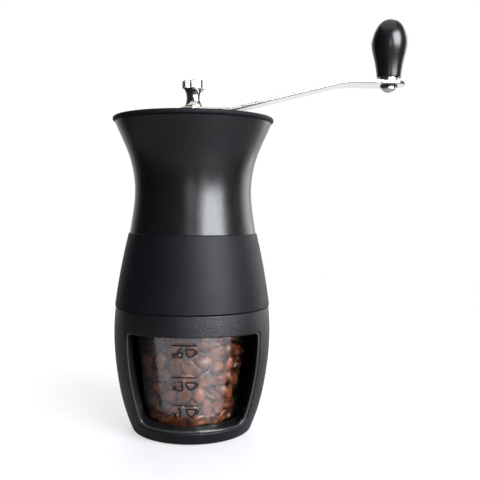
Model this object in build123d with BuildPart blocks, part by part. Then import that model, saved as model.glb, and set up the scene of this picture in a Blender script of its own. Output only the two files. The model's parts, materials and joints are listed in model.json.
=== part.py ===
"""Hand crank coffee grinder: catch cup with a window, clear container, mill body with ceramic
conical burrs, hopper, lid, crank arm with knob and thumb nut. Millimetres, +Z up, origin on the
body axis at the plane it stands on; the window faces -Y and the crank arm lies along +X."""

from build123d import *
import os

os.makedirs("parts", exist_ok=True)

# ---- driving dimensions ----------------------------------------------------------------------
FIT = 0.05  # gap between pieces of one assembly that are pushed together
PRESS = 0.02  # gap of a pressed or tightly keyed fit
SEAM = 0.2  # visible seam between cup, sleeve, hopper and lid

CUP_TOP = 70.6  # rim of the catch cup
CUP_WALL = 3.0
CUP_MOUTH_R = 40.0  # bore that takes the mill's skirt and the seal
SHELF_Z = 63.0  # shelf inside the cup that carries the container's rim
SHELF_R = 34.0
SHELF_UNDER = SHELF_Z - 1.6
CUP_FLOOR = 4.2
CUP_FOOT = 0.4  # the shell stops this far above the table; the pad stands on it
CUP_FOOT_R = 32.6
PAD_R = 30.0
PAD_TOP = 1.4

WINDOW_TOP = 59.3
WINDOW_BOTTOM = 8.2
WINDOW_HALF_TOP = 35.9  # half width of the opening in front of the shell
WINDOW_HALF_SILL = 26.9
WINDOW_LIP = 1.2  # visible rim of the surround at the sill and sides of the shell's opening
WINDOW_LIP_DEPTH = 0.45  # the rim lies this far under the shell's surface
WINDOW_WALL = 2.4  # wall of the tunnel behind the shell, which holds the surround in

CONTAINER_BASE_Z = 4.6
CONTAINER_BASE_R = 26.0
CONTAINER_TOP_R = 33.2
CONTAINER_WALL = 1.8
CONTAINER_RIM_R = 38.0

GRIP_BASE = CUP_TOP + SEAM
GRIP_TOP = 111.7
GRIP_WALL = 2.5

HOPPER_BASE = GRIP_TOP + FIT
HOPPER_TOP = 173.2
HOPPER_WALL = 2.4

DECK_Z = 104.0  # underside of the deck that the ring burr is pressed against
DECK_T = 3.0
BURR_BASE = 84.0
BURR_R = 23.0
BURR_SEAT_R = 27.0

SHAFT_R = 4.0
SHAFT_FLAT = 3.0  # half the distance across the two flats
STUD_R = 3.0
RUN = 0.05  # radial running clearance of shafts in bushes
BUSH_R = 6.0

LID_BASE = HOPPER_TOP + SEAM
LID_TOP = 176.1
LID_R = 45.0

ARM_T = 2.0
ARM_W = 20.0
ARM_HUB_TOP = 181.6
ARM_END_TOP = 198.8
ARM_REACH = 112.0  # from the body axis to the knob's pin

NUT_TOP = 197.6
KNOB_BASE = 201.2
KNOB_TOP = 234.8
KNOB_R = 10.3
PIN_R = 2.5


def save(piece, name):
    """Labels one finished sub-part and writes it as its own STEP file."""
    piece.part.label = name
    export_step(piece.part, f"parts/{name}.step")


def shifted(points, inward):
    """The same outline points, moved towards the axis."""
    return [(r - inward, z) for r, z in points]


def axial_bore(radius, base, top):
    """Cuts a round hole on the body axis from one height to another."""
    with BuildSketch(Plane.XY.offset(base)) as hole:
        Circle(radius)
    extrude(hole.sketch, amount=top - base, mode=Mode.SUBTRACT)


def ring(inner, outer, base, top):
    """Adds a plain ring on the body axis."""
    with BuildSketch(Plane.XY.offset(base)) as annulus:
        Circle(outer)
        Circle(inner, mode=Mode.SUBTRACT)
    extrude(annulus.sketch, amount=top - base)


def double_d(radius, flat):
    """Adds a circle with two flats, the section that the shaft drives through."""
    Circle(radius)
    Rectangle(4 * radius, 2 * flat, mode=Mode.INTERSECT)


# ---- catch cup -------------------------------------------------------------------------------
CUP_OUTLINE = [
    (34.1, 2.0),
    (36.9, 9.3),
    (39.9, 19.8),
    (41.9, 30.3),
    (43.3, 40.8),
    (44.1, 54.5),
    (43.35, CUP_TOP),
]
CUP_INSIDE = [(32.3, CUP_FLOOR), *shifted(CUP_OUTLINE[1:-1], CUP_WALL), (41.0, SHELF_UNDER)]


def cup_profile(points, inward):
    """Half section of the cup's room under the shelf, its wall moved inwards from the points."""
    with BuildLine() as outline:
        wall = Spline(*shifted(points, inward))
        Polyline(wall @ 1, (0, (wall @ 1).Y), (0, (wall @ 0).Y), wall @ 0)
    make_face(outline.edges())


WINDOW_FRONT = 46.0  # the tunnel starts this far in front of the body axis
WINDOW_BACK = 1.5
WINDOW_BULGE = 2.35  # how far the sides bow out
SHELL_INSIDE_R = 40.9  # the shell's inside above the window
SILL_CORNER_R = 5.5
TOP_CORNER_R = 2.6


def window_outline(distance, half_top, half_sill, top, sill):
    """The window at a distance in front of the axis: straight top and sill, sides that bow out."""
    with BuildSketch(Plane.XZ.offset(distance)) as outline:
        with BuildLine():
            bulge = ((half_top + half_sill) / 2 + WINDOW_BULGE, (top + sill) / 2)
            side = ThreePointArc((half_top, top), bulge, (half_sill, sill))
            mirror(side, about=Plane.YZ)
            Line((half_top, top), (-half_top, top))
            Line((half_sill, sill), (-half_sill, sill))
        make_face()
        fillet(vertices().group_by(Axis.Y)[0], SILL_CORNER_R + half_sill - WINDOW_HALF_SILL)
        fillet(vertices().group_by(Axis.Y)[-1], TOP_CORNER_R)
    return outline.sketch


def window_tunnel(margin):
    """The tapering room behind the window, from in front of the shell back to the body axis."""
    top, sill = WINDOW_TOP + margin, WINDOW_BOTTOM - margin
    front = window_outline(WINDOW_FRONT, WINDOW_HALF_TOP + margin, WINDOW_HALF_SILL + margin, top, sill)
    taper_top, taper_sill = WINDOW_HALF_TOP - 2.6, WINDOW_HALF_SILL - 0.7
    back = window_outline(WINDOW_BACK, taper_top + margin, taper_sill + margin, top - 1.3, sill + 1.2)
    loft([front, back])


def clear_above(height, inner_r):
    """Cuts everything higher than a level and farther out than a radius."""
    with BuildSketch(Plane.XY.offset(height)) as outside:
        Circle(CUP_TOP)
        if inner_r:
            Circle(inner_r, mode=Mode.SUBTRACT)
    extrude(outside.sketch, amount=CUP_TOP, mode=Mode.SUBTRACT)


def near_shell_surface(edge):
    """Whether the middle of an edge lies on the outside of the cup."""
    middle = edge @ 0.5
    reach = (middle.X**2 + middle.Y**2) ** 0.5
    for (low_r, low_z), (high_r, high_z) in zip(CUP_OUTLINE, CUP_OUTLINE[1:]):
        if low_z <= middle.Z <= high_z:
            surface = low_r + (high_r - low_r) * (middle.Z - low_z) / (high_z - low_z)
            return reach > surface - WINDOW_LIP_DEPTH - 0.4
    return False


with BuildPart() as window_room:
    window_tunnel(0)

with BuildPart() as shell_opening:
    window_tunnel(WINDOW_LIP + FIT)
    clear_above(WINDOW_TOP, 0)

with BuildPart() as cup_shell:
    with BuildSketch(Plane.XZ):
        with BuildLine():
            side = Spline(*CUP_OUTLINE)
            Line(side @ 1, (CUP_MOUTH_R, CUP_TOP))
            inside = Spline(*CUP_INSIDE)
            Polyline(
                (CUP_MOUTH_R, CUP_TOP),
                (CUP_MOUTH_R, SHELF_Z),
                (SHELF_R, SHELF_Z),
                (SHELF_R, SHELF_UNDER),
                inside @ 1,
            )
            Polyline(
                inside @ 0,
                (0, CUP_FLOOR),
                (0, PAD_TOP),
                (PAD_R, PAD_TOP),
                (PAD_R, CUP_FOOT),
                (CUP_FOOT_R, CUP_FOOT),
            )
            RadiusArc((CUP_FOOT_R, CUP_FOOT), side @ 0, -2.2)
        make_face()
    revolve(axis=Axis.Z)
    fillet(edges().filter_by(GeomType.CIRCLE).group_by(Axis.Z)[-1].sort_by(SortBy.RADIUS)[-1], 0.5)
    add(shell_opening.part, mode=Mode.SUBTRACT)
    fillet(edges(Select.LAST).filter_by(near_shell_surface), 0.5)
save(cup_shell, "cup_shell")

with BuildPart() as surround_flange:
    window_tunnel(WINDOW_WALL)
    with BuildSketch(Plane.XZ):
        cup_profile(CUP_INSIDE, 0.1)
    revolve(axis=Axis.Z, mode=Mode.INTERSECT)

with BuildPart() as window_surround:
    window_tunnel(WINDOW_LIP)
    with BuildSketch(Plane.XZ):
        cup_profile([*CUP_OUTLINE[:-1], (43.9, SHELF_UNDER)], WINDOW_LIP_DEPTH)
    revolve(axis=Axis.Z, mode=Mode.INTERSECT)
    add(surround_flange.part)
    add(window_room.part, mode=Mode.SUBTRACT)
    with BuildSketch(Plane.XZ):
        Polygon(
            (0, 0),
            (CONTAINER_BASE_R + 0.4, 0),
            (CONTAINER_TOP_R + 0.6, SHELF_Z),
            (0, SHELF_Z),
            align=None,
        )
    revolve(axis=Axis.Z, mode=Mode.SUBTRACT)
    fillet(edges().filter_by(near_shell_surface), 0.4)
    clear_above(WINDOW_TOP - FIT, SHELL_INSIDE_R)
save(window_surround, "window_surround")

PAD_GROOVES = (12, 18, 24)  # radii of the grip rings under the pad
PAD_GROOVE_W = 1.6
PAD_GROOVE_DEPTH = 0.5

with BuildPart() as base_pad:
    with BuildSketch():
        Circle(PAD_R - 2 * FIT)
    extrude(amount=PAD_TOP)
    for groove_r in PAD_GROOVES:
        with BuildSketch():
            Circle(groove_r + PAD_GROOVE_W / 2)
            Circle(groove_r - PAD_GROOVE_W / 2, mode=Mode.SUBTRACT)
        extrude(amount=PAD_GROOVE_DEPTH, mode=Mode.SUBTRACT)
save(base_pad, "base_pad")

# ---- clear container -------------------------------------------------------------------------
CONTAINER_RIM_TOP = SHELF_Z + 1.5
CONTAINER_FLOOR = CONTAINER_BASE_Z + 2.0

with BuildPart() as clear_container:
    with BuildSketch(Plane.XZ):
        Polygon(
            (0, CONTAINER_BASE_Z),
            (CONTAINER_BASE_R, CONTAINER_BASE_Z),
            (CONTAINER_TOP_R, SHELF_Z),
            (CONTAINER_RIM_R, SHELF_Z),
            (CONTAINER_RIM_R, CONTAINER_RIM_TOP),
            (CONTAINER_TOP_R - CONTAINER_WALL, CONTAINER_RIM_TOP),
            (CONTAINER_BASE_R - CONTAINER_WALL + 0.2, CONTAINER_FLOOR),
            (0, CONTAINER_FLOOR),
            align=None,
        )
    revolve(axis=Axis.Z)
    rings = edges().filter_by(GeomType.CIRCLE)
    fillet(rings.group_by(Axis.Z)[0], 2.4)
    fillet(rings.group_by(Axis.Z)[1], 1.6)
save(clear_container, "clear_container")

# ---- seal that turns and lifts with the mill -------------------------------------------------
SEAL_BASE = 66.6
SEAL_TOP = 68.8
SEAL_R = 38.2

with BuildPart() as body_seal:
    ring(SEAL_R + FIT, CUP_MOUTH_R - 0.1, SEAL_BASE + FIT, SEAL_TOP - FIT)
save(body_seal, "body_seal")

# ---- mill body under the grip ----------------------------------------------------------------
GRIP_OUTLINE = [(43.7, GRIP_BASE), (40.35, 92.0), (36.1, GRIP_TOP)]
SKIRT_R = CUP_MOUTH_R - 0.35
SKIRT_BASE = 65.4
SKIRT_INNER_R = 36.6
BODY_OUTLINE = shifted(GRIP_OUTLINE, GRIP_WALL + FIT)
BODY_INSIDE = shifted(BODY_OUTLINE, 2.4)
DECK_TOP = DECK_Z + DECK_T
DECK_R = 33.4
THROAT_R = 15.2
HOPPER_SCREW_R = 29.2
RETAINER_SCREW_R = 25.0
SCREW_R = 1.0
SCREW_HEAD_R = 1.8
SCREW_HEAD_T = 1.4
RETAINER_SCREW_DEPTH = 9.0  # length of the holes for the retainer's screws

with BuildPart() as mill_body:
    with BuildSketch(Plane.XZ):
        with BuildLine():
            outer = ThreePointArc(*BODY_OUTLINE)
            inner = ThreePointArc(*BODY_INSIDE)
            Line(outer @ 1, inner @ 1)
            Polyline(
                inner @ 0,
                (SKIRT_INNER_R, GRIP_BASE - 1),
                (SKIRT_INNER_R, SKIRT_BASE),
                (SKIRT_R, SKIRT_BASE),
                (SKIRT_R, SEAL_BASE),
                (SEAL_R, SEAL_BASE),
                (SEAL_R, SEAL_TOP),
                (SKIRT_R, SEAL_TOP),
                (SKIRT_R, GRIP_BASE),
                outer @ 0,
            )
        make_face()
        with BuildLine():
            Polyline(
                (THROAT_R, DECK_Z),
                (BURR_R + FIT, DECK_Z),
                (BURR_R + FIT, BURR_BASE),
                (BURR_SEAT_R, BURR_BASE),
                (BURR_SEAT_R, DECK_Z),
                (DECK_R, DECK_Z),
                (DECK_R, DECK_TOP),
                (THROAT_R, DECK_TOP),
                close=True,
            )
        make_face()
    revolve(axis=Axis.Z)
    with BuildSketch(Plane.XY.offset(BURR_BASE)):
        with PolarLocations(RETAINER_SCREW_R, 3):
            Circle(SCREW_R + FIT)
    extrude(amount=RETAINER_SCREW_DEPTH, mode=Mode.SUBTRACT)
    with BuildSketch(Plane.XY.offset(DECK_Z)):
        with PolarLocations(HOPPER_SCREW_R, 3, start_angle=30):
            Circle(SCREW_R + FIT)
    extrude(amount=DECK_T, mode=Mode.SUBTRACT)
save(mill_body, "mill_body")

with BuildPart() as grip_sleeve:
    with BuildSketch(Plane.XZ):
        with BuildLine():
            outer = ThreePointArc(*GRIP_OUTLINE)
            inner = ThreePointArc(*shifted(GRIP_OUTLINE, GRIP_WALL))
            Line(outer @ 0, inner @ 0)
            Line(outer @ 1, inner @ 1)
        make_face()
        fillet(vertices().group_by(Axis.Y)[0].sort_by(Axis.X)[-1], 0.5)
        fillet(vertices().group_by(Axis.Y)[-1].sort_by(Axis.X)[-1], 0.5)
    revolve(axis=Axis.Z)
save(grip_sleeve, "grip_sleeve")

# ---- hopper ----------------------------------------------------------------------------------
HOPPER_OUTLINE = [
    (35.5, HOPPER_BASE),
    (33.95, 121.5),
    (32.7, 135.0),
    (33.15, 142.5),
    (36.35, 156.0),
    (40.6, 166.0),
    (43.8, HOPPER_TOP),
]
SPIGOT_R = 30.8
SPIGOT_BASE = DECK_TOP + FIT
SPIDER_BASE = 112.0
SPIDER_TOP = 118.0
SPIDER_ARM_W = 3.4
HUB_R = 8.2
HUB_RISE = 2.0  # the hubs stand this far past their arms
COLLAR_INNER_R = 16.0  # the ring over the burrs that the beans slide down to
COLLAR_R = 17.5
SPIGOT_INNER_R = 27.6
HOPPER_SCREW_DEPTH = 5.2

with BuildPart() as hopper:
    with BuildSketch(Plane.XZ):
        with BuildLine():
            side = Spline(*HOPPER_OUTLINE)
            inside = Spline((32.2, 118.0), *shifted(HOPPER_OUTLINE[1:], HOPPER_WALL))
            Line(side @ 1, inside @ 1)
            Polyline(
                inside @ 0,
                (COLLAR_INNER_R, 109.2),
                (COLLAR_INNER_R, SPIGOT_BASE),
                (COLLAR_R, SPIGOT_BASE),
                (SPIGOT_INNER_R, 112.8),
                (SPIGOT_INNER_R, SPIGOT_BASE),
                (SPIGOT_R, SPIGOT_BASE),
                (SPIGOT_R, HOPPER_BASE),
                side @ 0,
            )
        make_face()
    revolve(axis=Axis.Z)
    ring(BUSH_R + PRESS, HUB_R, SPIDER_BASE, SPIDER_TOP + HUB_RISE)
    with BuildSketch(Plane.XY.offset(SPIDER_BASE)):
        with PolarLocations(19.5, 3):
            Rectangle(24, SPIDER_ARM_W)
    extrude(amount=SPIDER_TOP - SPIDER_BASE)
    with BuildSketch(Plane.XY.offset(SPIGOT_BASE)):
        with PolarLocations(HOPPER_SCREW_R, 3, start_angle=30):
            Circle(SCREW_R + FIT)
    extrude(amount=HOPPER_SCREW_DEPTH, mode=Mode.SUBTRACT)
save(hopper, "hopper")


def screw_group(pitch_r, start, seat, length):
    """Three pan head screws on a circle, their heads under the seat height."""
    places = PolarLocations(pitch_r, 3, start_angle=start)
    slot_w = 0.45
    with BuildSketch(Plane.XY.offset(seat)) as shanks:
        with places:
            Circle(SCREW_R)
    extrude(shanks.sketch, amount=length)
    with BuildSketch(Plane.XY.offset(seat - SCREW_HEAD_T)) as heads:
        with places:
            Circle(SCREW_HEAD_R)
    extrude(heads.sketch, amount=SCREW_HEAD_T)
    with BuildSketch(Plane.XY.offset(seat - SCREW_HEAD_T)) as recesses:
        with places:
            Rectangle(1.4 * SCREW_HEAD_R, slot_w)
            Rectangle(slot_w, 1.4 * SCREW_HEAD_R)
    extrude(recesses.sketch, amount=SCREW_HEAD_T / 2, mode=Mode.SUBTRACT)


with BuildPart() as hopper_screws:
    screw_group(HOPPER_SCREW_R, 30, DECK_Z, DECK_T + HOPPER_SCREW_DEPTH - 0.4)
save(hopper_screws, "hopper_screws")

# ---- bridge and bushes that guide the shaft --------------------------------------------------
BRIDGE_BASE = 158.0
BRIDGE_T = 3.0
BRIDGE_R = 34.2
BRIDGE_ARM_W = 4.0
BRIDGE_HUB_BASE = BRIDGE_BASE - HUB_RISE
BRIDGE_HUB_TOP = BRIDGE_BASE + BRIDGE_T + 1

with BuildPart() as upper_bridge:
    ring(BRIDGE_R - 2.2, BRIDGE_R, BRIDGE_BASE, BRIDGE_BASE + BRIDGE_T)
    ring(BUSH_R + PRESS, HUB_R, BRIDGE_HUB_BASE, BRIDGE_HUB_TOP)
    with BuildSketch(Plane.XY.offset(BRIDGE_BASE)):
        with PolarLocations(20, 3, start_angle=60):
            Rectangle(25.5, BRIDGE_ARM_W)
    extrude(amount=BRIDGE_T)
save(upper_bridge, "upper_bridge")


FLANGE_T = 1.2
FLANGE_R = BUSH_R + 1.4
LOWER_BUSH_TOP = SPIDER_TOP + 2.6

with BuildPart() as upper_bush:
    ring(SHAFT_R + RUN, BUSH_R, BRIDGE_HUB_BASE, BRIDGE_HUB_TOP)
    ring(SHAFT_R + RUN, FLANGE_R, BRIDGE_HUB_TOP, BRIDGE_HUB_TOP + FLANGE_T)
save(upper_bush, "upper_bush")

with BuildPart() as lower_bush:
    ring(SHAFT_R + RUN, BUSH_R, SPIDER_BASE - FLANGE_T, LOWER_BUSH_TOP)
    ring(SHAFT_R + RUN, FLANGE_R, SPIDER_BASE - FLANGE_T, SPIDER_BASE)
save(lower_bush, "lower_bush")

# ---- burrs -----------------------------------------------------------------------------------
CONE_BASE = 86.5
CONE_TOP = 103.5
CONE_BASE_R = 17.4
CONE_TOP_R = 9.5
CONE_SLOPE = (CONE_BASE_R - CONE_TOP_R) / (CONE_TOP - CONE_BASE)
GRIND_GAP = 0.45
FEED_Z = 91.0
CONE_TEETH = 18
RING_TEETH = 24
TOOTH_TILT = 12
CARRIER_BASE = 84.5
CARRIER_TOP = 104.4
CARRIER_R = 7.05
CARRIER_FLANGE_R = 15.0
RETAINER_T = 2.4
DETENTS = 6
DETENT_PITCH_R = 12.0

def cone_r(z):
    """Radius of the cone burr's tooth tips at a height."""
    return CONE_BASE_R - (z - CONE_BASE) * CONE_SLOPE


with BuildPart() as ring_groove:
    with BuildSketch(Plane.XY.offset(BURR_BASE - 1)):
        with Locations((cone_r(FEED_Z) + GRIND_GAP + 1.3, 0)):
            Rectangle(5.4, 1.3, rotation=45)
    extrude(amount=DECK_Z - BURR_BASE + 2)

with BuildPart() as ring_burr:
    with BuildSketch(Plane.XZ):
        Polygon(
            (cone_r(BURR_BASE) + GRIND_GAP, BURR_BASE),
            (BURR_R, BURR_BASE),
            (BURR_R, DECK_Z - FIT),
            (15.2, DECK_Z - FIT),
            (cone_r(FEED_Z) + GRIND_GAP, FEED_Z),
            align=None,
        )
    revolve(axis=Axis.Z)
    with PolarLocations(0, RING_TEETH):
        add(ring_groove.part, mode=Mode.SUBTRACT)
save(ring_burr, "ring_burr")

slant = Vector(CONE_TOP_R - CONE_BASE_R, 0, CONE_TOP - CONE_BASE)
slant_middle = Vector((CONE_TOP_R + CONE_BASE_R) / 2, 0, (CONE_TOP + CONE_BASE) / 2)
tooth_way = slant.rotate(Axis((0, 0, 0), (1, 0, 0)), TOOTH_TILT)
with BuildPart() as cone_groove:
    with BuildSketch(Plane(slant_middle, x_dir=(0, 1, 0), z_dir=tooth_way)):
        Rectangle(1.5, 1.5, rotation=45)
    extrude(amount=12, both=True)

with BuildPart() as cone_burr:
    with BuildSketch(Plane.XZ):
        Polygon(
            (CARRIER_R + FIT, CONE_BASE),
            (CONE_BASE_R, CONE_BASE),
            (CONE_TOP_R, CONE_TOP),
            (CARRIER_R + FIT, CONE_TOP),
            align=None,
        )
    revolve(axis=Axis.Z)
    with PolarLocations(0, CONE_TEETH):
        add(cone_groove.part, mode=Mode.SUBTRACT)
save(cone_burr, "cone_burr")

with BuildPart() as cone_carrier:
    with BuildSketch(Plane.XY.offset(CARRIER_BASE)):
        Circle(CARRIER_FLANGE_R)
    extrude(amount=CONE_BASE - CARRIER_BASE)
    with BuildSketch(Plane.XY.offset(CONE_BASE)):
        Circle(CARRIER_R)
    extrude(amount=CARRIER_TOP - CONE_BASE)
    with BuildSketch(Plane.XY.offset(CARRIER_BASE)):
        double_d(SHAFT_R + RUN, SHAFT_FLAT + RUN)
    extrude(amount=CARRIER_TOP - CARRIER_BASE + 1, mode=Mode.SUBTRACT)
    with BuildSketch(Plane.XY.offset(CARRIER_BASE)):
        with PolarLocations(DETENT_PITCH_R, DETENTS):
            Circle(1.6)
    extrude(amount=1, mode=Mode.SUBTRACT)
save(cone_carrier, "cone_carrier")

with BuildPart() as burr_retainer:
    ring(20.6, BURR_SEAT_R, BURR_BASE - RETAINER_T, BURR_BASE - FIT)
    with BuildSketch(Plane.XY.offset(BURR_BASE - RETAINER_T)):
        with PolarLocations(RETAINER_SCREW_R, 3):
            Circle(SCREW_R + FIT)
    extrude(amount=RETAINER_T, mode=Mode.SUBTRACT)
save(burr_retainer, "burr_retainer")

with BuildPart() as retainer_screws:
    screw_group(RETAINER_SCREW_R, 0, BURR_BASE - RETAINER_T, RETAINER_SCREW_DEPTH + 1.4)
save(retainer_screws, "retainer_screws")

# ---- grind setting ---------------------------------------------------------------------------
DETENT_WASHER_BASE = 83.7
ADJUSTER_BASE = 76.8
ADJUSTER_TOP = DETENT_WASHER_BASE - 0.1
ADJUSTER_R = 10.6
ADJUSTER_BOSS_T = 1.2
ADJUSTER_BOSS_R = 8.4
ADJUSTER_SCALLOPS = 8

with BuildPart() as detent_washer:
    ring(SHAFT_R + 0.3, 9.0, DETENT_WASHER_BASE, CARRIER_BASE - 0.1)
save(detent_washer, "detent_washer")

with BuildPart() as adjusting_nut:
    with BuildSketch(Plane.XY.offset(ADJUSTER_BASE)):
        Circle(ADJUSTER_R)
        with PolarLocations(12.2, ADJUSTER_SCALLOPS):
            Circle(3.0, mode=Mode.SUBTRACT)
    extrude(amount=ADJUSTER_TOP - ADJUSTER_BASE - ADJUSTER_BOSS_T)
    with BuildSketch(Plane.XY.offset(ADJUSTER_TOP - ADJUSTER_BOSS_T)):
        Circle(ADJUSTER_BOSS_R)
    extrude(amount=ADJUSTER_BOSS_T)
    axial_bore(STUD_R + FIT, ADJUSTER_BASE - 1, ADJUSTER_TOP + 1)
save(adjusting_nut, "adjusting_nut")

# ---- drive shaft -----------------------------------------------------------------------------
SHAFT_BASE = 73.0
DRIVE_BASE = CARRIER_BASE - 0.1  # the flats that turn the cone start here
JOURNAL_BASE = 106.0  # the shaft is round from here up to the arm
COLLAR_BASE = 170.0
CLIP_BASE = 121.4
CLIP_GROOVE = 0.9
CLIP_INNER_R = 3.35
STUD_TOP = 192.0
HUB_BASE = ARM_HUB_TOP - ARM_T

with BuildPart() as drive_shaft:
    with BuildSketch(Plane.XY.offset(SHAFT_BASE)):
        Circle(STUD_R)
    extrude(amount=STUD_TOP - SHAFT_BASE)
    with BuildSketch(Plane.XY.offset(DRIVE_BASE)):
        double_d(SHAFT_R, SHAFT_FLAT)
    extrude(amount=ARM_HUB_TOP + 0.1 - DRIVE_BASE)
    with BuildSketch(Plane.XY.offset(JOURNAL_BASE)):
        Circle(SHAFT_R)
    extrude(amount=HUB_BASE - JOURNAL_BASE)
    with BuildSketch(Plane.XY.offset(CLIP_BASE)):
        Circle(SHAFT_R + 1)
        Circle(CLIP_INNER_R - FIT, mode=Mode.SUBTRACT)
    extrude(amount=CLIP_GROOVE, mode=Mode.SUBTRACT)
    chamfer(edges().filter_by(GeomType.CIRCLE).group_by(Axis.Z)[-1], 0.5)
    chamfer(edges().filter_by(GeomType.CIRCLE).group_by(Axis.Z)[0], 0.5)
save(drive_shaft, "drive_shaft")

with BuildPart() as thrust_washer:
    ring(SHAFT_R + 0.1, 7.0, LOWER_BUSH_TOP + FIT, CLIP_BASE)
save(thrust_washer, "thrust_washer")

with BuildPart() as shaft_clip:
    ring(CLIP_INNER_R, 5.8, CLIP_BASE + FIT, CLIP_BASE + CLIP_GROOVE - FIT)
    with BuildSketch(Plane.XY.offset(CLIP_BASE)):
        with Locations((4, 0)):
            Rectangle(8, 4)
    extrude(amount=2, mode=Mode.SUBTRACT)
save(shaft_clip, "shaft_clip")

with BuildPart() as drive_collar:
    ring(SHAFT_R + PRESS, BUSH_R, COLLAR_BASE, HUB_BASE - FIT)
    chamfer(edges().filter_by(GeomType.CIRCLE).group_by(Axis.Z)[0].sort_by(SortBy.RADIUS)[-1], 0.6)
save(drive_collar, "drive_collar")

SPRING_WIRE_R = 0.45
SPRING_R = 5.55
SPRING_BASE = 104.95
SPRING_RISE = 5.3
SPRING_TURNS = 3.5
SPRING_FOOT = (0, 0, SPRING_BASE)

with BuildPart() as burr_spring:
    with BuildLine():
        coil = Helix(SPRING_RISE / SPRING_TURNS, SPRING_RISE, SPRING_R, center=SPRING_FOOT)
    with BuildSketch(Plane(coil @ 0, z_dir=coil % 0)):
        Circle(SPRING_WIRE_R)
    sweep(is_frenet=True)
save(burr_spring, "burr_spring")

# ---- lid -------------------------------------------------------------------------------------
LID_HOLE_R = 8.2
LID_LOCATOR_R = 39.4  # rib under the lid that centres it in the hopper
LID_LOCATOR_BASE = LID_BASE - 3.8
GROMMET_BORE_R = BUSH_R + 0.3
GROMMET_R = LID_HOLE_R + 1.4
GROMMET_LIP = 0.8

with BuildPart() as lid:
    with BuildSketch(Plane.XZ):
        Polygon(
            (LID_HOLE_R, LID_BASE),
            (LID_LOCATOR_R - 2, LID_BASE),
            (LID_LOCATOR_R - 2, LID_LOCATOR_BASE),
            (LID_LOCATOR_R, LID_LOCATOR_BASE),
            (LID_LOCATOR_R, LID_BASE),
            (LID_R, LID_BASE),
            (LID_R, LID_TOP),
            (LID_HOLE_R, LID_TOP),
            align=None,
        )
    revolve(axis=Axis.Z)
    rims = edges().filter_by(GeomType.CIRCLE).sort_by(SortBy.RADIUS)[-2:]
    fillet(rims, 1.2)
save(lid, "lid")

with BuildPart() as lid_grommet:
    with BuildSketch(Plane.XZ):
        Polygon(
            (GROMMET_BORE_R, LID_BASE - GROMMET_LIP),
            (GROMMET_R, LID_BASE - GROMMET_LIP),
            (GROMMET_R, LID_BASE - FIT),
            (LID_HOLE_R - PRESS, LID_BASE - FIT),
            (LID_HOLE_R - PRESS, LID_TOP + FIT),
            (GROMMET_R, LID_TOP + FIT),
            (GROMMET_R, LID_TOP + GROMMET_LIP),
            (GROMMET_BORE_R, LID_TOP + GROMMET_LIP),
            align=None,
        )
    revolve(axis=Axis.Z)
save(lid_grommet, "lid_grommet")

# ---- crank -----------------------------------------------------------------------------------
ARM_BEND_LOW = 20.5
ARM_BEND_HIGH = 85.5
ARM_BEND_R = (20.0, 55.0)  # of the lower and the upper bend
ARM_EDGE_R = 0.7
EYE_R = PIN_R + PRESS


def arm_line(lift):
    """Corners of the arm's cranked side view, a height above its top face."""
    return [
        (-ARM_W, ARM_HUB_TOP + lift),
        (ARM_BEND_LOW, ARM_HUB_TOP + lift),
        (ARM_BEND_HIGH, ARM_END_TOP + lift),
        (ARM_REACH + ARM_W, ARM_END_TOP + lift),
    ]


with BuildPart() as crank_arm:
    with BuildSketch(Plane.XZ) as side_view:
        with BuildLine():
            top_line = FilletPolyline(*arm_line(0), radius=ARM_BEND_R)
            low_line = FilletPolyline(*arm_line(-ARM_T), radius=ARM_BEND_R)
            Line(top_line @ 0, low_line @ 0)
            Line(top_line @ 1, low_line @ 1)
        make_face()
    extrude(amount=ARM_W, both=True)
    with BuildSketch(Plane.XY.offset(HUB_BASE - 5)):
        with Locations((ARM_REACH / 2, 0)):
            SlotCenterToCenter(ARM_REACH, ARM_W)
    extrude(amount=40, mode=Mode.INTERSECT)
    rim_faces = faces().filter_by(lambda face: abs(face.normal_at().Z) < 0.01)
    long_edges = rim_faces.edges().filter_by(lambda edge: abs((edge % 0.5).Z) < 0.9)
    fillet(long_edges, ARM_EDGE_R)
    with BuildSketch(Plane.XY.offset(HUB_BASE - 1)):
        double_d(SHAFT_R + RUN, SHAFT_FLAT + RUN)
    extrude(amount=ARM_T + 2, mode=Mode.SUBTRACT)
    with BuildSketch(Plane.XY.offset(ARM_END_TOP - ARM_T - 1)):
        with Locations((ARM_REACH, 0)):
            Circle(EYE_R)
    extrude(amount=ARM_T + 2, mode=Mode.SUBTRACT)
save(crank_arm, "crank_arm")

PIN_TOP = 222.0
ARM_END_BASE = ARM_END_TOP - ARM_T
PIN_WASHER_T = 0.9
PIN_GROOVE = 0.5
PIN_RETAINER_T = 0.8
RETAINER_BASE = PIN_TOP - 2.15
HEAD_R = 4.4
HEAD_T = 2.8

KNOB_AXIS = Axis((ARM_REACH, 0, 0), (0, 0, 1))
KNOB_SIDE = Plane((ARM_REACH, 0, 0), x_dir=(1, 0, 0), z_dir=(0, -1, 0))


def knob_level(height):
    """Horizontal plane at a height, centred on the knob's pin."""
    return Plane((ARM_REACH, 0, height))


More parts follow.
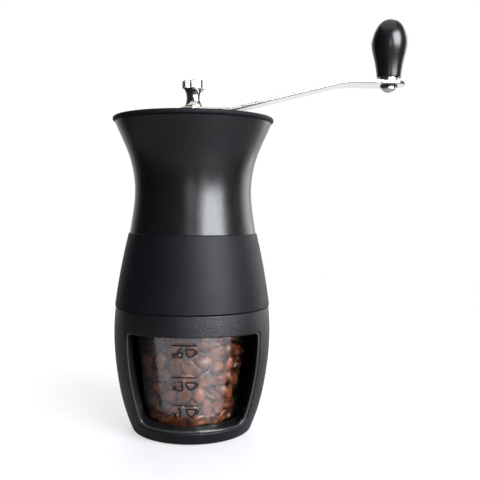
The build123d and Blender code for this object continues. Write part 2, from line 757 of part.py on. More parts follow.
with BuildPart() as knob_pin:
    seat = ARM_END_BASE - PIN_WASHER_T - FIT
    with BuildSketch(KNOB_SIDE):
        with BuildLine():
            ThreePointArc((HEAD_R, seat - 0.8), (2.5, seat - 2.15), (0, seat - HEAD_T))
            Polyline(
                (0, seat - HEAD_T),
                (0, PIN_TOP),
                (PIN_R - PIN_GROOVE, PIN_TOP),
                (PIN_R, PIN_TOP - PIN_GROOVE),
                (PIN_R, seat),
                (HEAD_R, seat),
                (HEAD_R, seat - 0.8),
            )
        make_face()
    revolve(axis=KNOB_AXIS)
    with BuildSketch(knob_level(seat - HEAD_T)):
        Rectangle(2 * HEAD_R + 2, 0.9)
    extrude(amount=1.1, mode=Mode.SUBTRACT)
    with BuildSketch(knob_level(RETAINER_BASE - FIT)):
        Circle(PIN_R + 1)
        Circle(PIN_R - PIN_GROOVE, mode=Mode.SUBTRACT)
    extrude(amount=PIN_RETAINER_T + 2 * FIT, mode=Mode.SUBTRACT)
save(knob_pin, "knob_pin")


def knob_ring(inner, outer, base, top):
    """Adds a plain ring on the knob's axis."""
    with BuildSketch(knob_level(base)) as annulus:
        Circle(outer)
        Circle(inner, mode=Mode.SUBTRACT)
    extrude(annulus.sketch, amount=top - base)


with BuildPart() as pin_washer:
    knob_ring(PIN_R + PRESS, HEAD_R + 0.5, ARM_END_BASE - PIN_WASHER_T, ARM_END_BASE)
save(pin_washer, "pin_washer")

with BuildPart() as pin_retainer:
    knob_ring(PIN_R - PIN_GROOVE + FIT, 3.6, RETAINER_BASE, RETAINER_BASE + PIN_RETAINER_T)
save(pin_retainer, "pin_retainer")

with BuildPart() as knob_spacer:
    knob_ring(PIN_R + PRESS, 5.6, ARM_END_TOP, KNOB_BASE - 0.1)
save(knob_spacer, "knob_spacer")

BORE_R = 4.1
KNOB_OUTLINE = [
    (7.0, KNOB_BASE + 1.0),
    (8.45, KNOB_BASE + 10.1),
    (KNOB_R, KNOB_BASE + 20.0),
    (8.6, KNOB_BASE + 27.5),
    (0, KNOB_TOP),
]

with BuildPart() as knob:
    with BuildSketch(KNOB_SIDE):
        with BuildLine():
            side = Spline(*KNOB_OUTLINE, tangents=[(0.1, 1), (-1, 0)])
            Polyline(
                side @ 0,
                (6.9, KNOB_BASE + 0.3),
                (6.6, KNOB_BASE),
                (BORE_R, KNOB_BASE),
                (BORE_R, PIN_TOP + 1),
                (0, PIN_TOP + 3),
                (0, KNOB_TOP),
            )
        make_face()
    revolve(axis=KNOB_AXIS)
save(knob, "knob")

with BuildPart() as knob_bush:
    knob_ring(PIN_R + RUN, BORE_R - PRESS, KNOB_BASE + 0.2, RETAINER_BASE - 0.25)
save(knob_bush, "knob_bush")

# ---- top fastening ---------------------------------------------------------------------------
NUT_WASHER_T = 0.6
NUT_BASE = ARM_HUB_TOP + NUT_WASHER_T
NUT_CAP_BASE = 192.6
NUT_CAP_R = 6.65
NUT_FLUTES = 32
NUT_FLUTE_W = 0.5

with BuildPart() as nut_washer:
    ring(SHAFT_R + 0.1, 6.3, ARM_HUB_TOP, NUT_BASE - FIT)
save(nut_washer, "nut_washer")

with BuildPart() as thumb_nut:
    with BuildSketch(Plane.XZ):
        with BuildLine():
            waist = ThreePointArc((6.1, NUT_BASE + 0.6), (4.15, 188.0), (5.9, NUT_CAP_BASE - 0.3))
            Polyline(waist @ 0, (6.1, NUT_BASE), (0, NUT_BASE), (0, NUT_TOP))
            Polyline(
                (0, NUT_TOP),
                (4.8, NUT_TOP),
                (5.5, NUT_TOP - 0.15),
                (6.25, NUT_TOP - 0.55),
                (NUT_CAP_R, NUT_TOP - 1.2),
                (NUT_CAP_R, NUT_CAP_BASE),
                waist @ 1,
            )
        make_face()
    revolve(axis=Axis.Z)
    with BuildSketch(Plane.XY.offset(NUT_CAP_BASE - 1)):
        with PolarLocations(NUT_CAP_R + 0.1, NUT_FLUTES):
            Rectangle(NUT_FLUTE_W, NUT_FLUTE_W, rotation=45)
    extrude(amount=NUT_TOP - NUT_CAP_BASE + 2, mode=Mode.SUBTRACT)
    axial_bore(STUD_R + FIT, NUT_BASE - 1, STUD_TOP + 0.5)
save(thumb_nut, "thumb_nut")
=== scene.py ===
"""Looks of the hand crank coffee grinder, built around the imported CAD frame. Metres, +Z up."""
import json
import math

import bmesh
import bpy
import numpy as np
from mathutils import Matrix, Vector

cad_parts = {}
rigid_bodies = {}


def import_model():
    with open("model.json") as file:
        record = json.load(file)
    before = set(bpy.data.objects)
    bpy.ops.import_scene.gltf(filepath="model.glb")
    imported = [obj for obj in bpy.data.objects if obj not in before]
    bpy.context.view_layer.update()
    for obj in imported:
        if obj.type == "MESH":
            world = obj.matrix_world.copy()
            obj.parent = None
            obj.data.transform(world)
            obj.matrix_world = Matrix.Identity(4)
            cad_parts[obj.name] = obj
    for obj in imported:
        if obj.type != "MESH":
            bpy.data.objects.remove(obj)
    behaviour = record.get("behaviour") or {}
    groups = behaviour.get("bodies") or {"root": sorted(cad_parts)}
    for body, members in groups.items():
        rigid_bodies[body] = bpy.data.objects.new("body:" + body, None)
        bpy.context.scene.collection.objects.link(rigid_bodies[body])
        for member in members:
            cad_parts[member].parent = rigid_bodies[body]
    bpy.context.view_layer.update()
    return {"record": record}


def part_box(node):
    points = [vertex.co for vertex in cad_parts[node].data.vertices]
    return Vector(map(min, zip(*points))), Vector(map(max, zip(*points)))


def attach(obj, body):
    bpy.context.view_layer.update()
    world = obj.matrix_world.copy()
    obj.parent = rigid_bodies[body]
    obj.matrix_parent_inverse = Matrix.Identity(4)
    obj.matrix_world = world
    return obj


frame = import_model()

MM = 0.001
SEED = 11

# ---- places taken from the frame ---------------------------------------------------------
# Corners of four nodes at rest; only the container's are needed below.
CUP_LOW, CUP_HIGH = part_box("cup_shell")
CONTAINER_LOW, CONTAINER_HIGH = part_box("clear_container")
HOPPER_LOW, HOPPER_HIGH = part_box("hopper")
KNOB_LOW, KNOB_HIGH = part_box("knob")

# The clear container is a cone: outer radius at its base and under its rim.
CONTAINER_BASE_R = 26.0 * MM
CONTAINER_TOP_R = 33.2 * MM
CONTAINER_WALL = 1.8 * MM
CONTAINER_FLOOR = 2 * MM
CONTAINER_BASE_Z = CONTAINER_LOW[2]
CONTAINER_RIM_Z = CONTAINER_HIGH[2] - 1.5 * MM


def container_r(z):
    """Outer radius of the clear container at a height."""
    share = (z - CONTAINER_BASE_Z) / (CONTAINER_RIM_Z - CONTAINER_BASE_Z)
    return CONTAINER_BASE_R + share * (CONTAINER_TOP_R - CONTAINER_BASE_R)


# ---- material helpers -----------------------------------------------------------------------
def principled(name, colour, roughness, metallic=0.0, **sockets):
    """A new material with a Principled shader; extra sockets are named as Blender names them."""
    material = bpy.data.materials.new(name)
    material.use_nodes = True
    shader = material.node_tree.nodes["Principled BSDF"]
    shader.inputs["Base Color"].default_value = (*colour, 1.0)
    shader.inputs["Roughness"].default_value = roughness
    shader.inputs["Metallic"].default_value = metallic
    for socket, value in sockets.items():
        shader.inputs[socket.replace("_", " ")].default_value = value
    return material


def texture(material, scale, detail, stretch=(1, 1, 1)):
    """Procedural noise in object space; stretch scales its axes. Returns its factor output."""
    nodes, links = material.node_tree.nodes, material.node_tree.links
    place = nodes.new("ShaderNodeTexCoord")
    mapping = nodes.new("ShaderNodeMapping")
    mapping.inputs["Scale"].default_value = stretch
    pattern = nodes.new("ShaderNodeTexNoise")
    pattern.inputs["Scale"].default_value = scale
    pattern.inputs["Detail"].default_value = detail
    links.new(place.outputs["Object"], mapping.inputs["Vector"])
    links.new(mapping.outputs["Vector"], pattern.inputs["Vector"])
    return pattern.outputs["Fac"]


def shader_of(material):
    return material.node_tree.nodes["Principled BSDF"]


def spread(material, factor, low, high, edges=(0.3, 0.7)):
    """Maps a texture factor to a range of values."""
    node = material.node_tree.nodes.new("ShaderNodeMapRange")
    node.inputs["From Min"].default_value = edges[0]
    node.inputs["From Max"].default_value = edges[1]
    node.inputs["To Min"].default_value = low
    node.inputs["To Max"].default_value = high
    material.node_tree.links.new(factor, node.inputs["Value"])
    return node.outputs["Result"]


def vary_roughness(material, factor, low, high):
    """Roughness that wanders between two values."""
    result = spread(material, factor, low, high)
    material.node_tree.links.new(result, shader_of(material).inputs["Roughness"])


def vary_colour(material, factor, dark, light, edges=(0.3, 0.7)):
    """Base colour that wanders between two colours."""
    ramp = material.node_tree.nodes.new("ShaderNodeValToRGB")
    ramp.color_ramp.elements[0].position = edges[0]
    ramp.color_ramp.elements[0].color = (*dark, 1.0)
    ramp.color_ramp.elements[1].position = edges[1]
    ramp.color_ramp.elements[1].color = (*light, 1.0)
    material.node_tree.links.new(factor, ramp.inputs["Fac"])
    material.node_tree.links.new(ramp.outputs["Color"], shader_of(material).inputs["Base Color"])


def add_bump(material, factor, height, strength=1.0):
    """Bump of a given height in metres; a second call stacks on the first."""
    nodes, links = material.node_tree.nodes, material.node_tree.links
    node = nodes.new("ShaderNodeBump")
    node.inputs["Strength"].default_value = strength
    node.inputs["Distance"].default_value = height
    normal = shader_of(material).inputs["Normal"]
    if normal.links:
        links.new(normal.links[0].from_socket, node.inputs["Normal"])
    links.new(factor, node.inputs["Height"])
    links.new(node.outputs["Normal"], normal)


# ---- materials ---------------------------------------------------------------------------------
def textured_black():
    """Spark-eroded matt black plastic of the cup: a coarse even grain that sparkles in the light."""
    material = principled("textured black plastic", (0.004, 0.004, 0.005), 0.34, Specular_IOR_Level=0.25)
    vary_colour(material, texture(material, 60, 2), (0.0028, 0.0028, 0.0032), (0.0046, 0.0046, 0.0055))
    add_bump(material, texture(material, 1700, 2), 0.00030, 1.0)
    vary_roughness(material, texture(material, 900, 2), 0.26, 0.38)
    return material


def grip_rubber():
    """Soft dark rubber with a faint blue tint and a velvety bloom."""
    material = principled("soft grip rubber", (0.004, 0.0045, 0.006), 0.50, Specular_IOR_Level=0.14)
    vary_colour(material, texture(material, 40, 3), (0.0030, 0.0034, 0.0046), (0.0048, 0.0054, 0.0074))
    add_bump(material, texture(material, 2300, 2), 0.00009, 0.7)
    vary_roughness(material, texture(material, 120, 3), 0.47, 0.53)
    return material


def gloss_black():
    """Smooth moulded black plastic with faint flow ripples and handling marks."""
    material = principled("gloss black plastic", (0.004, 0.004, 0.0042), 0.25, Specular_IOR_Level=0.38)
    vary_colour(material, texture(material, 30, 2), (0.0030, 0.0030, 0.0032), (0.0048, 0.0048, 0.0051))
    add_bump(material, texture(material, 35, 1), 0.00004, 0.35)
    add_bump(material, texture(material, 2200, 2), 0.000005, 0.5)
    vary_roughness(material, texture(material, 260, 3, stretch=(1, 1, 0.25)), 0.25, 0.32)
    return material


SILL_DUST_SHADE_R = (34.0 * MM, 36.0 * MM)  # coffee dust dulls the sill behind its front edge, and painted shade darkens its colour there
SILL_DUST_SHADE_Z = (12.0 * MM, 16.0 * MM)


def surround_black():
    """Polished black of the window surround. Behind its front edge, coffee dust dulls the sill and painted
    shade darkens its colour.
    """
    material = principled("polished black plastic", (0.014, 0.014, 0.015), 0.14)
    vary_colour(material, texture(material, 40, 2), (0.016, 0.016, 0.017), (0.024, 0.024, 0.025))
    add_bump(material, texture(material, 90, 2), 0.00006, 0.3)
    nodes, links = material.node_tree.nodes, material.node_tree.links
    place = nodes.new("ShaderNodeTexCoord")
    parts = nodes.new("ShaderNodeSeparateXYZ")
    links.new(place.outputs["Object"], parts.inputs["Vector"])
    flat = nodes.new("ShaderNodeCombineXYZ")
    links.new(parts.outputs["X"], flat.inputs["X"])
    links.new(parts.outputs["Y"], flat.inputs["Y"])
    reach = nodes.new("ShaderNodeVectorMath")
    reach.operation = "LENGTH"
    links.new(flat.outputs["Vector"], reach.inputs[0])
    # Mask for dust and painted shade: 0 on the sill behind its front edge, 1 elsewhere
    clear_of_dust_and_shade = nodes.new("ShaderNodeMath")
    clear_of_dust_and_shade.operation = "MAXIMUM"
    links.new(spread(material, reach.outputs["Value"], 0, 1, SILL_DUST_SHADE_R), clear_of_dust_and_shade.inputs[0])
    links.new(spread(material, parts.outputs["Z"], 0, 1, SILL_DUST_SHADE_Z), clear_of_dust_and_shade.inputs[1])
    # Painted shade: on the sill the base colour is scaled down to a fifth. The dust there only lowers the
    # specular and raises the roughness below.
    painted_sill_shade = nodes.new("ShaderNodeVectorMath")
    painted_sill_shade.operation = "SCALE"
    colour = shader_of(material).inputs["Base Color"]
    links.new(colour.links[0].from_socket, painted_sill_shade.inputs[0])
    links.new(spread(material, clear_of_dust_and_shade.outputs["Value"], 0.2, 1, (0, 1)), painted_sill_shade.inputs["Scale"])
    links.new(painted_sill_shade.outputs["Vector"], colour)
    shine = spread(material, clear_of_dust_and_shade.outputs["Value"], 0.08, 0.6, (0, 1))
    links.new(shine, shader_of(material).inputs["Specular IOR Level"])
    softness = spread(material, clear_of_dust_and_shade.outputs["Value"], 0.50, 0.14, (0, 1))
    grain = spread(material, texture(material, 80, 4), 0.9, 1.15)
    worn = nodes.new("ShaderNodeMath")
    worn.operation = "MULTIPLY"
    links.new(softness, worn.inputs[0])
    links.new(grain, worn.inputs[1])
    links.new(worn.outputs["Value"], shader_of(material).inputs["Roughness"])
    return material


def lid_black():
    """Matt black of the lid, a little bluish, with fine dust and wipe marks."""
    material = principled("matt lid plastic", (0.004, 0.005, 0.007), 0.62, Specular_IOR_Level=0.16)
    vary_colour(material, texture(material, 50, 2), (0.0024, 0.0031, 0.0046), (0.0040, 0.0050, 0.0072))
    add_bump(material, texture(material, 1800, 2), 0.000006, 0.6)
    vary_roughness(material, texture(material, 110, 4), 0.58, 0.70)
    return material


def clear_plastic():
    """Clear moulded plastic: transmits, with a slight haze of wear."""
    material = principled("clear plastic", (0.97, 0.98, 0.98), 0.02, IOR=1.49, Coat_Weight=1.0, Coat_IOR=1.9)
    shader_of(material).inputs["Coat Roughness"].default_value = 0.03
    shader_of(material).inputs["Transmission Weight"].default_value = 1.0
    vary_roughness(material, texture(material, 40, 3), 0.01, 0.045)
    return material


def polished_steel():
    """Stainless strip, tumbled and polished, with fine lines along its length."""
    material = principled("polished stainless", (0.77, 0.77, 0.76), 0.20, 1.0)
    lines = texture(material, 900, 2, stretch=(0.03, 1, 1))
    vary_roughness(material, lines, 0.15, 0.27)
    vary_colour(material, texture(material, 25, 2), (0.71, 0.71, 0.70), (0.80, 0.80, 0.79))
    add_bump(material, lines, 0.000006, 0.5)
    add_bump(material, texture(material, 60, 2), 0.00002, 0.3)
    return material


def turned_steel():
    """Turned steel of the shaft and small hardware, with rings from the lathe."""
    material = principled("turned steel", (0.58, 0.58, 0.59), 0.28, 1.0)
    rings = texture(material, 2500, 1, stretch=(0.02, 0.02, 1))
    vary_roughness(material, rings, 0.22, 0.36)
    vary_colour(material, texture(material, 60, 3), (0.50, 0.50, 0.51), (0.64, 0.64, 0.65))
    add_bump(material, rings, 0.000006, 0.5)
    return material


def chrome():
    """Bright nickel chrome with barely visible wipe marks and a warm cast in its shadows."""
    material = principled("nickel chrome", (0.70, 0.675, 0.64), 0.18, 1.0)
    vary_roughness(material, texture(material, 160, 4), 0.14, 0.22)
    vary_colour(material, texture(material, 60, 2), (0.63, 0.60, 0.56), (0.72, 0.71, 0.69))
    return material


def knob_black():
    """Satin black knob, smooth, with handling marks."""
    material = principled("satin knob plastic", (0.004, 0.004, 0.0042), 0.25, Specular_IOR_Level=0.40)
    vary_colour(material, texture(material, 60, 2), (0.0032, 0.0032, 0.0034), (0.0050, 0.0050, 0.0053))
    vary_roughness(material, texture(material, 260, 3, stretch=(1, 1, 0.25)), 0.23, 0.28)
    return material


def ceramic():
    """Unglazed burr ceramic: off-white with faint grey specks of coffee dust."""
    material = principled("burr ceramic", (0.82, 0.80, 0.75), 0.6)
    vary_colour(material, texture(material, 300, 4), (0.62, 0.56, 0.48), (0.86, 0.84, 0.79), (0.25, 0.55))
    add_bump(material, texture(material, 1500, 2), 0.00003, 0.6)
    vary_roughness(material, texture(material, 200, 2), 0.5, 0.7)
    return material


def moulded_black():
    """Plain moulded black plastic of the inner pieces."""
    material = principled("moulded black plastic", (0.020, 0.020, 0.021), 0.45)
    vary_colour(material, texture(material, 45, 3), (0.016, 0.016, 0.017), (0.026, 0.026, 0.027))
    add_bump(material, texture(material, 1400, 2), 0.00003, 0.5)
    vary_roughness(material, texture(material, 70, 3), 0.38, 0.52)
    return material


def natural_plastic():
    """Natural acetal of the two bushes."""
    material = principled("natural acetal", (0.72, 0.70, 0.64), 0.4)
    vary_colour(material, texture(material, 80, 3), (0.66, 0.64, 0.58), (0.77, 0.75, 0.70))
    vary_roughness(material, texture(material, 200, 2), 0.34, 0.46)
    return material


def black_rubber():
    """Matt rubber of the foot pad, seal and grommet."""
    material = principled("black rubber", (0.022, 0.022, 0.022), 0.75)
    vary_colour(material, texture(material, 70, 3), (0.017, 0.017, 0.017), (0.030, 0.030, 0.030))
    add_bump(material, texture(material, 1600, 2), 0.00005, 0.6)
    vary_roughness(material, texture(material, 150, 2), 0.68, 0.82)
    return material


def turned_brass():
    """Brass sleeve in the knob."""
    material = principled("turned brass", (0.74, 0.55, 0.26), 0.3, 1.0)
    rings = texture(material, 2500, 1, stretch=(0.02, 0.02, 1))
    vary_roughness(material, rings, 0.24, 0.38)
    vary_colour(material, texture(material, 90, 3), (0.66, 0.48, 0.22), (0.78, 0.60, 0.30))
    return material


def roasted_bean():
    """Roasted coffee: red-brown and mottled, with fine wrinkles and an oily shine."""
    material = principled("roasted coffee", (0.12, 0.03, 0.01), 0.26, Specular_IOR_Level=0.6)
    mottle = texture(material, 120, 5)
    vary_colour(material, mottle, (0.060, 0.013, 0.005), (0.420, 0.125, 0.045), (0.36, 0.72))
    add_bump(material, texture(material, 520, 4), 0.00030, 0.5)
    vary_roughness(material, texture(material, 260, 3), 0.20, 0.42)
    return material


def mark_ink():
    """Dark printed ink of the scale marks."""
    material = principled("printed ink", (0.003, 0.003, 0.0035), 0.5, Specular_IOR_Level=0.15)
    vary_colour(material, texture(material, 400, 3), (0.0024, 0.0024, 0.0028), (0.0040, 0.0040, 0.0046))
    return material


MATERIALS = {
    "cup_plastic": textured_black(),
    "surround_plastic": surround_black(),
    "pad_rubber": black_rubber(),
    "clear_plastic": clear_plastic(),
    "grip_rubber": grip_rubber(),
    "body_plastic": moulded_black(),
    "hopper_plastic": gloss_black(),
    "lid_plastic": lid_black(),
    "bush_plastic": natural_plastic(),
    "ceramic": ceramic(),
    "steel": turned_steel(),
    "polished_steel": polished_steel(),
    "chrome": chrome(),
    "knob_plastic": knob_black(),
    "brass": turned_brass(),
}
MATERIALS["seal_silicone"] = MATERIALS["pad_rubber"]
MATERIALS["carrier_plastic"] = MATERIALS["body_plastic"]
MATERIALS["washer_black"] = MATERIALS["body_plastic"]


def dress_cad_nodes():
    """Gives every CAD node the material of its slot."""
    for entry in frame["record"]["subparts"]:
        node = bpy.data.objects[entry["node"]]
        node.data.materials.clear()
        node.data.materials.append(MATERIALS[entry["material_slot"]])


dress_cad_nodes()


def make_object(name, vertices, faces, material, smooth=True):
    """A mesh object from plain lists."""
    mesh = bpy.data.meshes.new(name)
    mesh.from_pydata([tuple(v) for v in vertices], [], [tuple(int(i) for i in f) for f in faces])
    mesh.validate()
    mesh.polygons.foreach_set("use_smooth", [smooth] * len(mesh.polygons))
    mesh.materials.append(material)
    piece = bpy.data.objects.new(name, mesh)
    bpy.context.scene.collection.objects.link(piece)
    return piece


# ---- coffee beans ------------------------------------------------------------------------------
BEAN_LENGTH = 11.0 * MM
BEAN_WIDTH = 8.0 * MM
BEAN_HEIGHT = 5.4 * MM
BEAN_ROUND = 20
BEAN_RINGS = 14
BEAN_SPACING = 8.6 * MM
LAYER_DEPTH = 5.0 * MM
LAYERS = 5
SETTLING_STEPS = 70
SETTLING_PUSH = 0.3  # share of an overlap by which one step moves each bean
PACKING = 0.88  # area that one bean takes in its layer, in squares of the spacing
BEAN_DEPTH = 0.62  # from the wall's inside to the first layer's centres, in bean heights
BEAN_WOBBLE = 0.34  # spread of a bean's lean and swing, in radians
BEAN_SIZES = (0.86, 1.04)  # smallest and largest, as shares of the sizes above
BEAN_GAP = 0.1 * MM  # kept free between the beans and the plastic
BACK_RISE = 0.66
BELLY_DEPTH = 0.42
CREASE_DEPTH = 0.50
CREASE_WIDTH = 0.12
CREASE_SWAY = 0.12
END_TAPER = 0.10
FILL_TOP = 58.0 * MM


def bean_shape():
    """One bean lying on its flat side at the origin: domed back, flat belly with a curved crease."""
    points = []
    for ring in range(BEAN_RINGS + 1):
        polar = math.pi * ring / BEAN_RINGS
        for step in range(BEAN_ROUND):
            turn = 2 * math.pi * step / BEAN_ROUND
            x = math.cos(polar)
            y = math.sin(polar) * math.cos(turn)
            z = math.sin(polar) * math.sin(turn)
            if z < 0:
                crease = CREASE_SWAY * math.sin(2.2 * x)
                groove = math.exp(-(((y - crease) / CREASE_WIDTH) ** 2)) * (1 - abs(x) ** 6)
                z = -BELLY_DEPTH * (-z) ** 0.55 + CREASE_DEPTH * groove
            end = 1 - END_TAPER * x * x
            points.append((x * BEAN_LENGTH / 2, y * end * BEAN_WIDTH / 2, z * BEAN_HEIGHT * BACK_RISE))
    faces = []
    for ring in range(BEAN_RINGS):
        for step in range(BEAN_ROUND):
            after = (step + 1) % BEAN_ROUND
            low, high = ring * BEAN_ROUND, (ring + 1) * BEAN_ROUND
            faces.append((low + step, high + step, high + after, low + after))
    return np.array(points), faces


def layer_centres(depth, random):
    """Bean centres on one cone inside the wall, pushed apart until they lie evenly."""
    floor = CONTAINER_BASE_Z + CONTAINER_FLOOR + BEAN_WIDTH * 0.45
    middle = container_r((floor + FILL_TOP) / 2) - depth
    count = int(2 * math.pi * middle * (FILL_TOP - floor + BEAN_SPACING) / (BEAN_SPACING**2 * PACKING))
    height = random.uniform(floor, FILL_TOP, count)
    turn = random.uniform(0, 2 * math.pi, count)
    for _ in range(SETTLING_STEPS):
        reach = container_r(height) - depth
        centres = np.stack([reach * np.cos(turn), reach * np.sin(turn), height], axis=1)
        gap = centres[:, None] - centres[None]
        distance = np.linalg.norm(gap, axis=2) + np.eye(count)
        push = np.clip(BEAN_SPACING - distance, 0, None) * SETTLING_PUSH
        np.fill_diagonal(push, 0)
        centres += (gap / distance[..., None] * push[..., None]).sum(axis=1)
        height = np.clip(centres[:, 2], floor, FILL_TOP)
        turn = np.arctan2(centres[:, 1], centres[:, 0])
    return centres


def bean_turn(centre, random):
    """Rotation of a bean that lies roughly against the wall, back or belly outwards."""
    tumble = Matrix.Rotation(random.uniform(0, 2 * math.pi), 3, "Z")
    outward = Vector((centre[0], centre[1], 0)).normalized()
    facing = -outward if random.uniform() < 0.5 else outward
    across = Vector((0, 0, 1)).cross(facing)
    against_wall = Matrix((across, facing.cross(across), facing)).transposed()
    lean = Matrix.Rotation(random.normal(0, BEAN_WOBBLE), 3, across)
    swing = Matrix.Rotation(random.normal(0, BEAN_WOBBLE), 3, "Z")
    return swing @ lean @ against_wall @ tumble


def coffee_beans():
    """All the beans in the container, as one piece of contents."""
    random = np.random.default_rng(SEED)
    shape, shape_faces = bean_shape()
    vertices, faces = [], []
    for layer in range(LAYERS):
        depth = CONTAINER_WALL + BEAN_HEIGHT * BEAN_DEPTH + layer * LAYER_DEPTH
        for centre in layer_centres(depth, random):
            turn = np.array(bean_turn(centre, random))
            size = random.uniform(*BEAN_SIZES)
            base = len(vertices) * len(shape)
            vertices.append(inside_container((shape * size) @ turn.T + centre))
            faces.extend([tuple(base + i for i in face) for face in shape_faces])
    piece = make_object("coffee_beans", np.concatenate(vertices), faces, roasted_bean())
    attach(piece, "container")
    return piece


def inside_container(points):
    """The same points, pulled in to stay just inside the container's wall and above its floor."""
    floor = CONTAINER_BASE_Z + CONTAINER_FLOOR + BEAN_GAP
    points[:, 2] = np.clip(points[:, 2], floor, CONTAINER_RIM_Z)
    limit = container_r(points[:, 2]) - CONTAINER_WALL - BEAN_GAP
    radius = np.linalg.norm(points[:, :2], axis=1)
    points[:, :2] *= np.minimum(1, limit / np.maximum(radius, 1e-9))[:, None]
    return points


# ---- printed marks on the container -----------------------------------------------------------------
INK_LIFT = 0.06 * MM
STROKE = 0.80 * MM
MARK_TURN = math.radians(-9.2)
INK_THICKNESS = 0.04 * MM
FIGURE_HEIGHT = 5.2 * MM
CUP_HEIGHT = 4.8 * MM
LINE_HALF = 6.9 * MM
TIMES_LEFT, FIGURE_LEFT, CUP_LEFT = -6.4 * MM, -3.9 * MM, 0.9 * MM
CUP_RAISE = 0.3 * MM
# Number of cups, height of the line, and gap from the line down to its figures.
FILL_LINES = (("6", 53.2 * MM, 1.6 * MM), ("3", 35.6 * MM, 2.3 * MM), ("1", 19.9 * MM, 1.5 * MM))


def ring_points(centre, width, height, start, end, steps=20):
    """Points along part of an ellipse, angles in degrees."""
    turns = [math.radians(start + (end - start) * i / steps) for i in range(steps + 1)]
    return [(centre[0] + width / 2 * math.cos(t), centre[1] + height / 2 * math.sin(t)) for t in turns]


# Figures are drawn in a cell 1 high, as lists of strokes.
FIGURES = {
    "x": [[(0.0, 0.0), (0.36, 0.47)], [(0.0, 0.47), (0.36, 0.0)]],
    "6": [ring_points((0.31, 0.29), 0.56, 0.54, 0, 360), ring_points((0.64, 0.30), 1.22, 1.40, 178, 104, 12)],
    "3": [
        ring_points((0.28, 0.745), 0.48, 0.48, 150, -90, 16),
        ring_points((0.28, 0.265), 0.58, 0.52, 90, -150, 16),
    ],
    "1": [[(0.0, 0.80), (0.24, 1.0), (0.24, 0.0)]],
    "cup": [
        [(0.0, 0.92), (1.06, 0.92)],
        ring_points((0.53, 0.92), 1.06, 1.64, 180, 360, 24),
        ring_points((1.08, 0.60), 0.44, 0.44, 100, -105, 14),
    ],
}


def wrap(x, z):
    """A point of the drawing, x across and z up in metres, laid on the container's front."""
    radius = container_r(z) + INK_LIFT
    turn = MARK_TURN + x / container_r(z)
    return Vector((radius * math.sin(turn), -radius * math.cos(turn), z))


def stroke_strip(points, vertices, faces):
    """Adds a flat ribbon of the stroke's width that follows the points."""
    finer = []
    for (x0, z0), (x1, z1) in zip(points, points[1:]):
        pieces = max(1, int(math.hypot(x1 - x0, z1 - z0) / MM))
        finer += [(x0 + (x1 - x0) * i / pieces, z0 + (z1 - z0) * i / pieces) for i in range(pieces)]
    finer.append(points[-1])
    first = len(vertices)
    for i, (x, z) in enumerate(finer):
        before, after = finer[max(i - 1, 0)], finer[min(i + 1, len(finer) - 1)]
        dx, dz = after[0] - before[0], after[1] - before[1]
        length = math.hypot(dx, dz) or 1.0
        side = (-dz / length * STROKE / 2, dx / length * STROKE / 2)
        vertices.append(wrap(x + side[0], z + side[1]))
        vertices.append(wrap(x - side[0], z - side[1]))
    for i in range(len(finer) - 1):
        a = first + 2 * i
        faces.append((a, a + 1, a + 3, a + 2))


def place_figure(name, left, base, height, vertices, faces):
    for stroke in FIGURES[name]:
        stroke_strip([(left + x * height, base + z * height) for x, z in stroke], vertices, faces)


def scale_marks():
    """Three fill lines, each with its number of cups and a small cup."""
    vertices, faces = [], []
    for figure, line_z, drop in FILL_LINES:
        stroke_strip([(-LINE_HALF, line_z), (LINE_HALF, line_z)], vertices, faces)
        base = line_z - drop - FIGURE_HEIGHT
        place_figure("x", TIMES_LEFT, base, FIGURE_HEIGHT, vertices, faces)
        place_figure(figure, FIGURE_LEFT, base, FIGURE_HEIGHT, vertices, faces)
        place_figure("cup", CUP_LEFT, base + CUP_RAISE, CUP_HEIGHT, vertices, faces)
    piece = make_object("scale_marks", vertices, faces, mark_ink(), smooth=False)
    sheet = piece.modifiers.new("ink thickness", "SOLIDIFY")
    sheet.thickness = INK_THICKNESS
    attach(piece, "container")
    return piece


# ---- floor, world, lights and camera --------------------------------------------------------------------
FLOOR_LIFT_NEAR = 0.60  # light added to the table where the camera sees it
FLOOR_LIFT_FAR = 0.95
BRIGHT_WAY = (0.25, 0.96, 0.10)
ROOM_DARK = 0.03
ROOM_BRIGHT = 1.0
ROOM_EDGES = (0.30, 0.90)  # cosines to the bright way where dark ends and full light begins
LIGHT_TARGET = Vector((0, 0, 0.11))
CAMERA_DISTANCE = 0.3986
CAMERA_HEIGHT = 0.1281
CAMERA_SIDE = math.radians(-1.1)
HEADING = math.radians(4.945)
PITCH = math.radians(2.93)
ROLL = math.radians(0.54)
FOCAL = 52.5
SENSOR = 36.0


def photo_camera():
    """A camera low in front of the window, a little to its left, tipped down and rolled slightly."""
    data = bpy.data.cameras.new("camera")
    data.lens = FOCAL
    data.sensor_width = SENSOR
    data.clip_start = 0.01
    data.clip_end = 50
    across, along = math.sin(HEADING), math.cos(HEADING)
    forward = Vector((across * math.cos(PITCH), along * math.cos(PITCH), -math.sin(PITCH)))
    right = Vector((math.cos(HEADING), -math.sin(HEADING), 0))
    up = right.cross(forward)
    right_rolled = right * math.cos(ROLL) + up * math.sin(ROLL)
    up_rolled = up * math.cos(ROLL) - right * math.sin(ROLL)
    camera = bpy.data.objects.new("camera", data)
    turn = Matrix((right_rolled, up_rolled, -forward)).transposed().to_4x4()
    place = Vector((math.sin(CAMERA_SIDE), -math.cos(CAMERA_SIDE), 0)) * CAMERA_DISTANCE
    place.z = CAMERA_HEIGHT
    camera.matrix_world = Matrix.Translation(place) @ turn
    bpy.context.scene.collection.objects.link(camera)
    bpy.context.scene.camera = camera


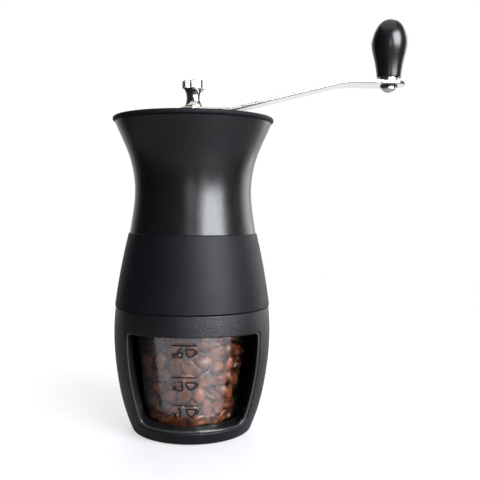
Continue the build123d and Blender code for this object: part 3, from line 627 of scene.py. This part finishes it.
def softbox(name, azimuth, elevation, distance, width, height, power, colour=(1, 1, 1)):
    """A rectangular light that faces the grinder; azimuth 0 is in front of the window, + to its right."""
    data = bpy.data.lights.new(name, "AREA")
    data.shape = "RECTANGLE"
    data.size = width
    data.size_y = height
    data.energy = power
    data.color = colour
    light = bpy.data.objects.new(name, data)
    turn, rise = math.radians(azimuth), math.radians(elevation)
    way = Vector((math.sin(turn) * math.cos(rise), -math.cos(turn) * math.cos(rise), math.sin(rise)))
    light.location = LIGHT_TARGET + way * distance
    light.rotation_euler = (-way).to_track_quat("-Z", "Y").to_euler()
    bpy.context.scene.collection.objects.link(light)


FLOOR_R = 0.5
FLOOR_LIFT_START = 0.05
FLOOR_DROP = 0.0002  # keeps the table clear of the base
FLOOR_SIDES = 128


def white_floor():
    """A round white table top, lifted to plain white towards its edge."""
    mesh = bpy.data.meshes.new("floor")
    builder = bmesh.new()
    bmesh.ops.create_circle(builder, cap_ends=True, segments=FLOOR_SIDES, radius=FLOOR_R)
    builder.to_mesh(mesh)
    builder.free()
    material = principled("white table", (0.205, 0.205, 0.22), 0.6)
    shader = shader_of(material)
    shader.inputs["Specular IOR Level"].default_value = 0.2
    shader.inputs["Emission Color"].default_value = (1, 1, 1, 1)
    nodes, links = material.node_tree.nodes, material.node_tree.links
    place = nodes.new("ShaderNodeTexCoord")
    reach = nodes.new("ShaderNodeVectorMath")
    reach.operation = "LENGTH"
    links.new(place.outputs["Object"], reach.inputs[0])
    lift_edges = (FLOOR_LIFT_START, FLOOR_R)
    lift = spread(material, reach.outputs["Value"], FLOOR_LIFT_NEAR, FLOOR_LIFT_FAR, lift_edges)
    path = nodes.new("ShaderNodeLightPath")
    seen = nodes.new("ShaderNodeMath")
    seen.operation = "MULTIPLY"
    links.new(lift, seen.inputs[0])
    links.new(path.outputs["Is Camera Ray"], seen.inputs[1])
    links.new(seen.outputs["Value"], shader.inputs["Emission Strength"])
    mesh.materials.append(material)
    floor = bpy.data.objects.new("floor", mesh)
    floor.location.z = -FLOOR_DROP
    bpy.context.scene.collection.objects.link(floor)


def studio_world():
    """White surroundings behind, dimmer to the left, and a dark room in front."""
    world = bpy.data.worlds.new("studio")
    world.use_nodes = True
    bpy.context.scene.world = world
    nodes, links = world.node_tree.nodes, world.node_tree.links
    back = nodes["Background"]
    place = nodes.new("ShaderNodeTexCoord")
    towards = nodes.new("ShaderNodeVectorMath")
    towards.operation = "DOT_PRODUCT"
    towards.inputs[1].default_value = BRIGHT_WAY
    ramp = nodes.new("ShaderNodeMapRange")
    ramp.interpolation_type = "SMOOTHSTEP"
    ramp.inputs["From Min"].default_value = ROOM_EDGES[0]
    ramp.inputs["From Max"].default_value = ROOM_EDGES[1]
    ramp.inputs["To Min"].default_value = ROOM_DARK
    ramp.inputs["To Max"].default_value = ROOM_BRIGHT
    path = nodes.new("ShaderNodeLightPath")
    seen = nodes.new("ShaderNodeMath")
    seen.operation = "MAXIMUM"
    links.new(place.outputs["Generated"], towards.inputs[0])
    links.new(towards.outputs["Value"], ramp.inputs["Value"])
    links.new(ramp.outputs["Result"], seen.inputs[0])
    links.new(path.outputs["Is Camera Ray"], seen.inputs[1])
    links.new(seen.outputs["Value"], back.inputs["Strength"])
    back.inputs["Color"].default_value = (1, 1, 1, 1)


photo_camera()
studio_world()
white_floor()
softbox("key", 36, 21, 1.3, 0.96, 0.95, 62, (0.93, 0.96, 1.0))
softbox("overhead", 0, 88, 1.3, 1.5, 1.5, 8)
softbox("rear", 180, 32, 1.5, 1.4, 0.7, 9)
softbox("right_fill", 124, 12, 1.4, 0.8, 1.0, 6)
softbox("thin_window", -6, 6, 1.5, 0.30, 0.6, 2.4)
scene = bpy.context.scene
scene.view_settings.view_transform = "Standard"

coffee_beans()
scale_marks()
